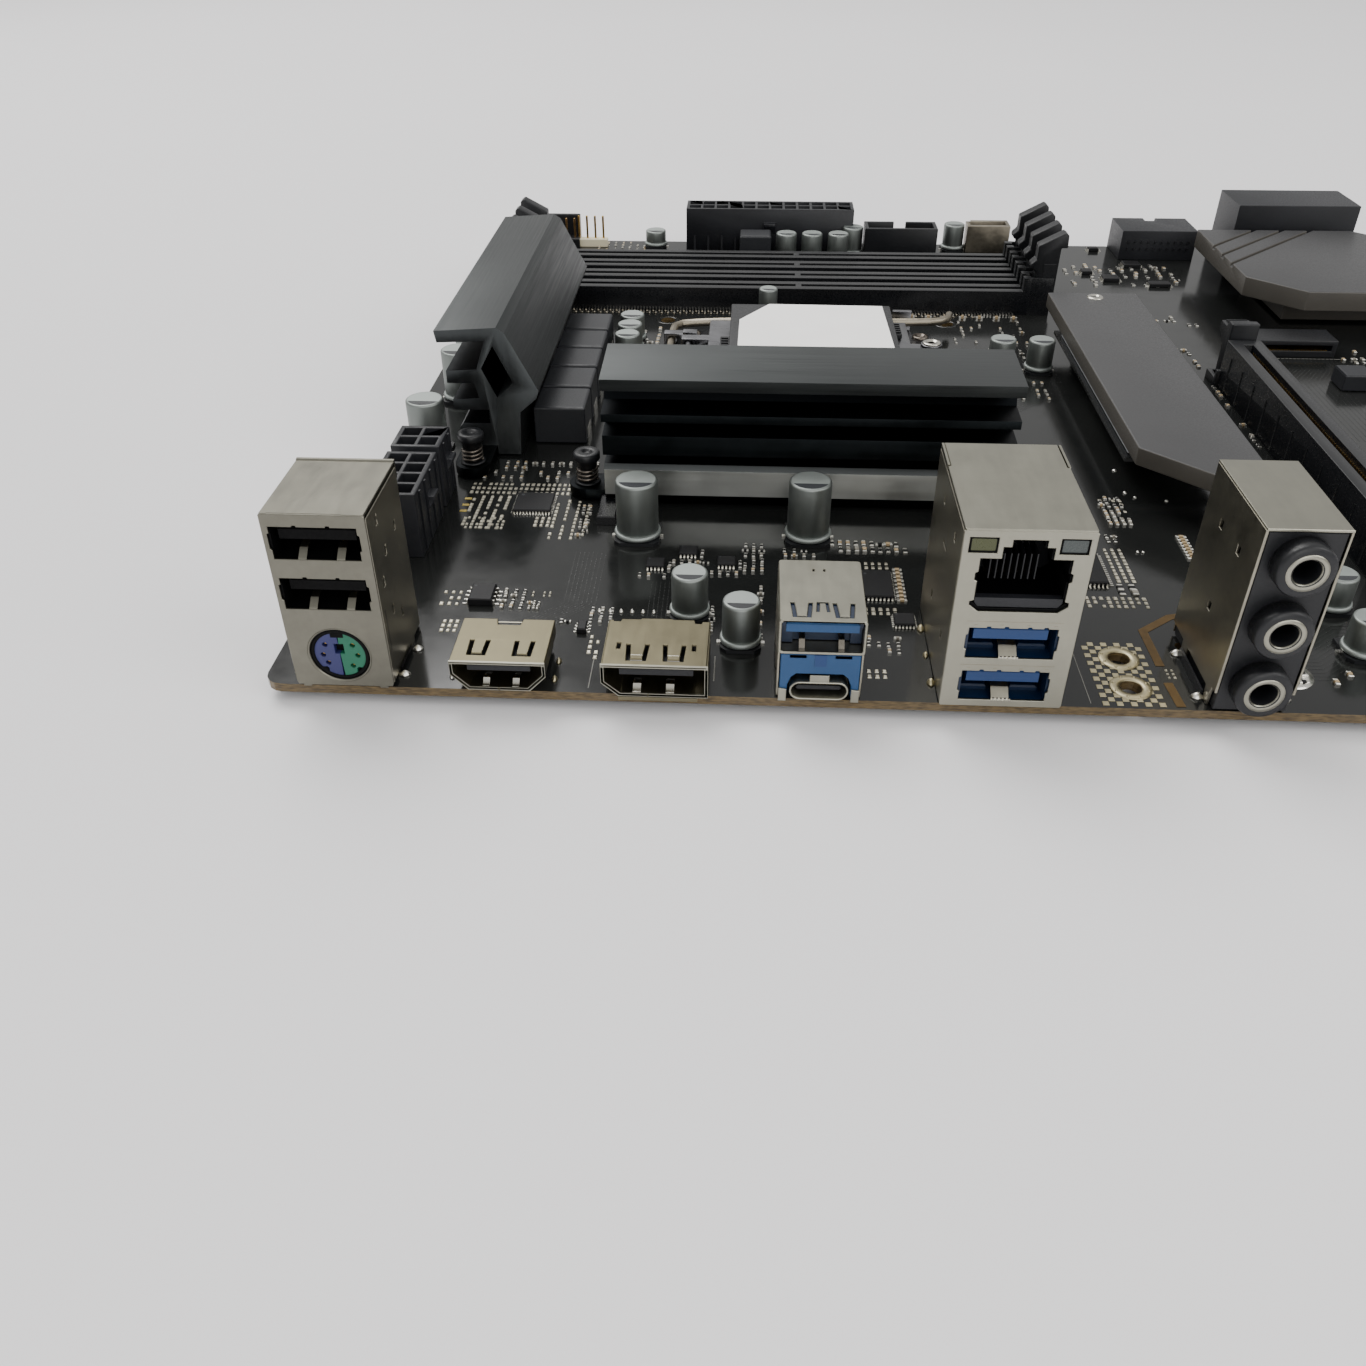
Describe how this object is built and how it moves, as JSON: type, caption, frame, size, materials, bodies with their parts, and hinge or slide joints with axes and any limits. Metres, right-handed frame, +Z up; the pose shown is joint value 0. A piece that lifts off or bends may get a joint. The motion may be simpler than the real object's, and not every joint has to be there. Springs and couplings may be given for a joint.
{
  "type": "motherboard",
  "caption": "Flat circuit board with rear ports, memory and expansion slots, finned heatsinks and a lever-locked processor socket.",
  "frame": {"origin": "centre of the bare board's underside", "axes": "+X along the rear port edge from the processor power corner towards the expansion slots, +Y inwards from the rear port edge, +Z up out of the component side"},
  "size_m": [0.3048, 0.2477, 0.0356],
  "materials": {
    "solder_mask": "matte black solder mask over woven glass board",
    "port_shell": "nickel plated folded sheet",
    "steel": "bright nickel plated steel",
    "insulator_blue": "blue moulded insulator",
    "insert_two_tone": "moulded, half violet and half green",
    "heatsink_coat": "dark grey anodised, finely brushed",
    "choke_ferrite": "matte pressed ferrite",
    "capacitor_can": "satin aluminium can",
    "cell_steel": "bright steel cell",
    "latch_plastic": "satin moulded plastic",
    "black_plastic": "satin moulded plastic"
  },
  "bodies": {
    "board": {"atx_power_24pin": "black_plastic", "audio_jack_housing": "black_plastic", "audio_jack_shell": "port_shell", "battery_holder": "black_plastic", "chipset_heatsink": "heatsink_coat", "circuit_board": "solder_mask", "cpu_power_4pin": "black_plastic", "cpu_power_8pin": "black_plastic", "cpu_socket_body": "black_plastic", "displayport_insulator": "black_plastic", "displayport_shell": "port_shell", "filter_capacitor_1": "capacitor_can", "filter_capacitor_2": "capacitor_can", "hdmi_insulator": "black_plastic", "hdmi_shell": "port_shell", "heatsink_pin_rear_1": "black_plastic", "heatsink_pin_rear_2": "black_plastic", "heatsink_pin_side_1": "black_plastic", "heatsink_pin_side_2": "black_plastic", "lan_jack_housing": "black_plastic", "lan_usb_insulator": "insulator_blue", "lan_usb_shell": "port_shell", "m2_heatsink": "heatsink_coat", "m2_socket": "black_plastic", "memory_slot_1": "black_plastic", "memory_slot_2": "black_plastic", "memory_slot_3": "black_plastic", "memory_slot_4": "black_plastic", "pcie_x16_slot_1": "black_plastic", "pcie_x16_slot_2": "black_plastic", "ps2_insert": "insert_two_tone", "ps2_usb_insulator": "black_plastic", "ps2_usb_shell": "port_shell", "sata_ports": "black_plastic", "socket_backplate": "steel", "socket_frame": "steel", "usb3_header_angled": "black_plastic", "usb3_header_upright": "black_plastic", "usb_a_over_c_insulator": "insulator_blue", "usb_a_over_c_shell": "port_shell", "usb_c_header": "port_shell", "usb_c_mouth": "steel", "vrm_chokes_rear": "choke_ferrite", "vrm_chokes_side": "choke_ferrite", "vrm_heatsink_rear": "heatsink_coat", "vrm_heatsink_side": "heatsink_coat"},
    "memory_latch_1_high": {"memory_latch_1_high": "latch_plastic"},
    "memory_latch_1_low": {"memory_latch_1_low": "latch_plastic"},
    "memory_latch_2_high": {"memory_latch_2_high": "latch_plastic"},
    "memory_latch_2_low": {"memory_latch_2_low": "latch_plastic"},
    "memory_latch_3_high": {"memory_latch_3_high": "latch_plastic"},
    "memory_latch_3_low": {"memory_latch_3_low": "latch_plastic"},
    "memory_latch_4_high": {"memory_latch_4_high": "latch_plastic"},
    "memory_latch_4_low": {"memory_latch_4_low": "latch_plastic"},
    "pcie_x16_latch_1": {"pcie_x16_latch_1": "latch_plastic"},
    "pcie_x16_latch_2": {"pcie_x16_latch_2": "latch_plastic"},
    "lever": {"socket_lever": "steel"},
    "load_plate": {"socket_load_plate": "steel"},
    "dust_cover": {"socket_cover": "black_plastic"},
    "battery": {"coin_battery": "cell_steel"}
  },
  "joints": [
    {"name": "lever_hinge", "type": "hinge", "parent": "board", "child": "lever", "pos_m": [-0.0959, 0.01108, 0.00437], "axis": [0, -1, 0], "range_deg": [0, 125]},
    {"name": "load_plate_hinge", "type": "hinge", "parent": "board", "child": "load_plate", "pos_m": [-0.0913, 0.01108, 0.00637], "axis": [0, -1, 0], "range_deg": [0, 95]},
    {"name": "dust_cover_lift", "type": "slide", "parent": "load_plate", "child": "dust_cover", "axis": [0, 0, 1], "range_m": [0, 0.012]},
    {"name": "battery_lift", "type": "slide", "parent": "board", "child": "battery", "axis": [0, 0, 1], "range_m": [0, 0.008]},
    {"name": "memory_latch_1_high_hinge", "type": "hinge", "parent": "board", "child": "memory_latch_1_high", "pos_m": [0.0037, 0.05968, 0.00417], "axis": [0, 1, 0], "range_deg": [0, 30]},
    {"name": "memory_latch_1_low_hinge", "type": "hinge", "parent": "board", "child": "memory_latch_1_low", "pos_m": [-0.1394, 0.05968, 0.00417], "axis": [0, -1, 0], "range_deg": [0, 30]},
    {"name": "memory_latch_2_high_hinge", "type": "hinge", "parent": "board", "child": "memory_latch_2_high", "pos_m": [0.0037, 0.06908, 0.00417], "axis": [0, 1, 0], "range_deg": [0, 30]},
    {"name": "memory_latch_2_low_hinge", "type": "hinge", "parent": "board", "child": "memory_latch_2_low", "pos_m": [-0.1394, 0.06908, 0.00417], "axis": [0, -1, 0], "range_deg": [0, 30]},
    {"name": "memory_latch_3_high_hinge", "type": "hinge", "parent": "board", "child": "memory_latch_3_high", "pos_m": [0.0037, 0.07848, 0.00417], "axis": [0, 1, 0], "range_deg": [0, 30]},
    {"name": "memory_latch_3_low_hinge", "type": "hinge", "parent": "board", "child": "memory_latch_3_low", "pos_m": [-0.1394, 0.07848, 0.00417], "axis": [0, -1, 0], "range_deg": [0, 30]},
    {"name": "memory_latch_4_high_hinge", "type": "hinge", "parent": "board", "child": "memory_latch_4_high", "pos_m": [0.0037, 0.08788, 0.00417], "axis": [0, 1, 0], "range_deg": [0, 30]},
    {"name": "memory_latch_4_low_hinge", "type": "hinge", "parent": "board", "child": "memory_latch_4_low", "pos_m": [-0.1394, 0.08788, 0.00417], "axis": [0, -1, 0], "range_deg": [0, 30]},
    {"name": "pcie_x16_latch_1_hinge", "type": "hinge", "parent": "board", "child": "pcie_x16_latch_1", "pos_m": [0.0399, 0.01128, 0.00457], "axis": [-1, 0, 0], "range_deg": [0, 20]},
    {"name": "pcie_x16_latch_2_hinge", "type": "hinge", "parent": "board", "child": "pcie_x16_latch_2", "pos_m": [0.10086, 0.01128, 0.00457], "axis": [-1, 0, 0], "range_deg": [0, 20]}
  ],
  "couplings": [
    {"joint": "load_plate_hinge", "follows": "lever_hinge", "ratio": 0.76}
  ]
}
